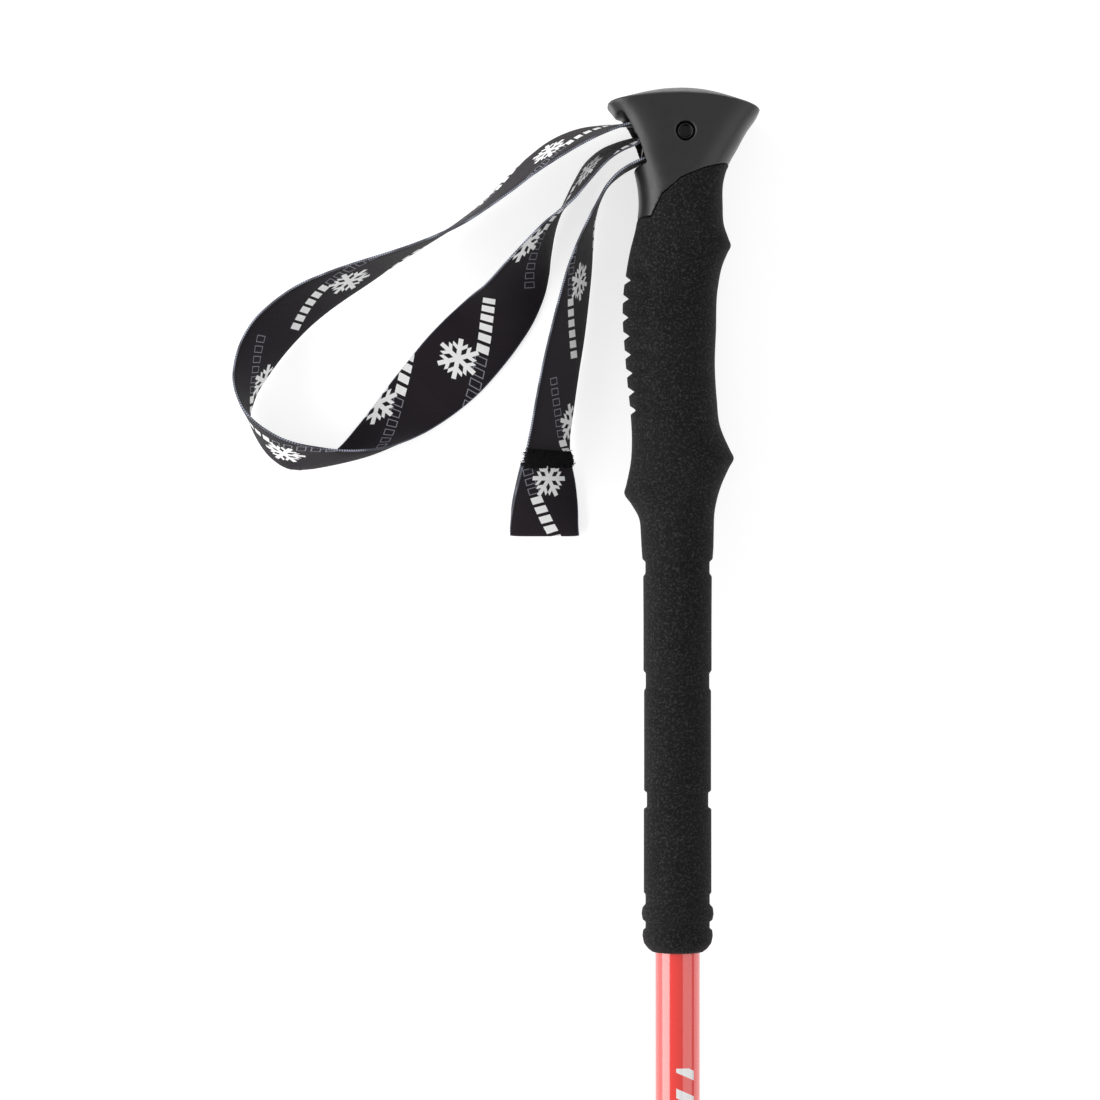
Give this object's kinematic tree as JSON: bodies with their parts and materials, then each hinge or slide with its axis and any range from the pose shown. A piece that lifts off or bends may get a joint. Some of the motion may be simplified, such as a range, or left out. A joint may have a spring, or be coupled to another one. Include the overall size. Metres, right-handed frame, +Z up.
{
  "type": "adjustable ski touring pole",
  "caption": "Three-section telescopic ski pole with a mushroom head, long foam grip, webbing wrist strap, lever locks, basket and hard metal tip.",
  "frame": {"origin": "on the table under the middle of the pole's box, strap left out", "axes": "+Y along the pole from the tip to the head, +X the front of the head, +Z up from the table the pole lies on"},
  "size_m": [0.1868, 1.15, 0.0551],
  "materials": {
    "eva_foam": "matte, finely speckled closed-cell foam",
    "head_plastic": "satin",
    "webbing": "twill weave with pale selvedges",
    "red_tube": "gloss lacquer",
    "black_tube": "satin anodised",
    "black_plastic": "satin",
    "red_lever": "gloss",
    "grey_plastic": "matte",
    "steel": "polished",
    "carbide": "ground"
  },
  "bodies": {
    "handle": {"upper_tube": "red_tube", "grip_head": "head_plastic", "foam_grip": "eva_foam", "strap_pin": "steel", "wrist_strap": "webbing", "upper_lock_body": "black_plastic", "upper_lock_barrel": "steel", "upper_lock_screw": "steel"},
    "wedge": {"strap_wedge": "black_plastic"},
    "upper_lever": {"upper_lock_lever": "red_lever"},
    "upper_nut": {"upper_lock_nut": "grey_plastic"},
    "middle_section": {"middle_tube": "black_tube", "middle_guide_bush": "grey_plastic", "lower_lock_body": "black_plastic", "lower_lock_barrel": "steel", "lower_lock_screw": "steel"},
    "lower_lever": {"lower_lock_lever": "red_lever"},
    "lower_nut": {"lower_lock_nut": "grey_plastic"},
    "lower_section": {"lower_tube": "black_tube", "lower_guide_bush": "grey_plastic", "tip_ferrule": "black_plastic", "carbide_tip": "carbide"},
    "basket_disc": {"basket": "black_plastic"}
  },
  "joints": [
    {"name": "wedge_slide", "type": "slide", "parent": "handle", "child": "wedge", "axis": [0.97, 0.2431, 0], "range_m": [0, 0.003]},
    {"name": "upper_lever_hinge", "type": "hinge", "parent": "handle", "child": "upper_lever", "pos_m": [0.01445, 0.04511, 0.03185], "axis": [0, 1, -0.0093], "range_deg": [0, 125]},
    {"name": "upper_nut_turn", "type": "hinge", "parent": "handle", "child": "upper_nut", "pos_m": [0.01445, 0.04495, 0.01495], "axis": [0, 0.0093, 1], "continuous": true},
    {"name": "middle_slide", "type": "slide", "parent": "handle", "child": "middle_section", "axis": [0, -1, 0.0093], "range_m": [-0.235, 0.1]},
    {"name": "lower_lever_hinge", "type": "hinge", "parent": "middle_section", "child": "lower_lever", "pos_m": [0.01445, -0.23388, 0.03444], "axis": [0, 1, -0.0093], "range_deg": [0, 125]},
    {"name": "lower_nut_turn", "type": "hinge", "parent": "middle_section", "child": "lower_nut", "pos_m": [0.01445, -0.23403, 0.01754], "axis": [0, 0.0093, 1], "continuous": true},
    {"name": "lower_slide", "type": "slide", "parent": "middle_section", "child": "lower_section", "axis": [0, -1, 0.0093], "range_m": [-0.235, 0.1]},
    {"name": "basket_slide", "type": "slide", "parent": "lower_section", "child": "basket_disc", "axis": [0, -1, 0.0093], "range_m": [0, 0.08]}
  ]
}
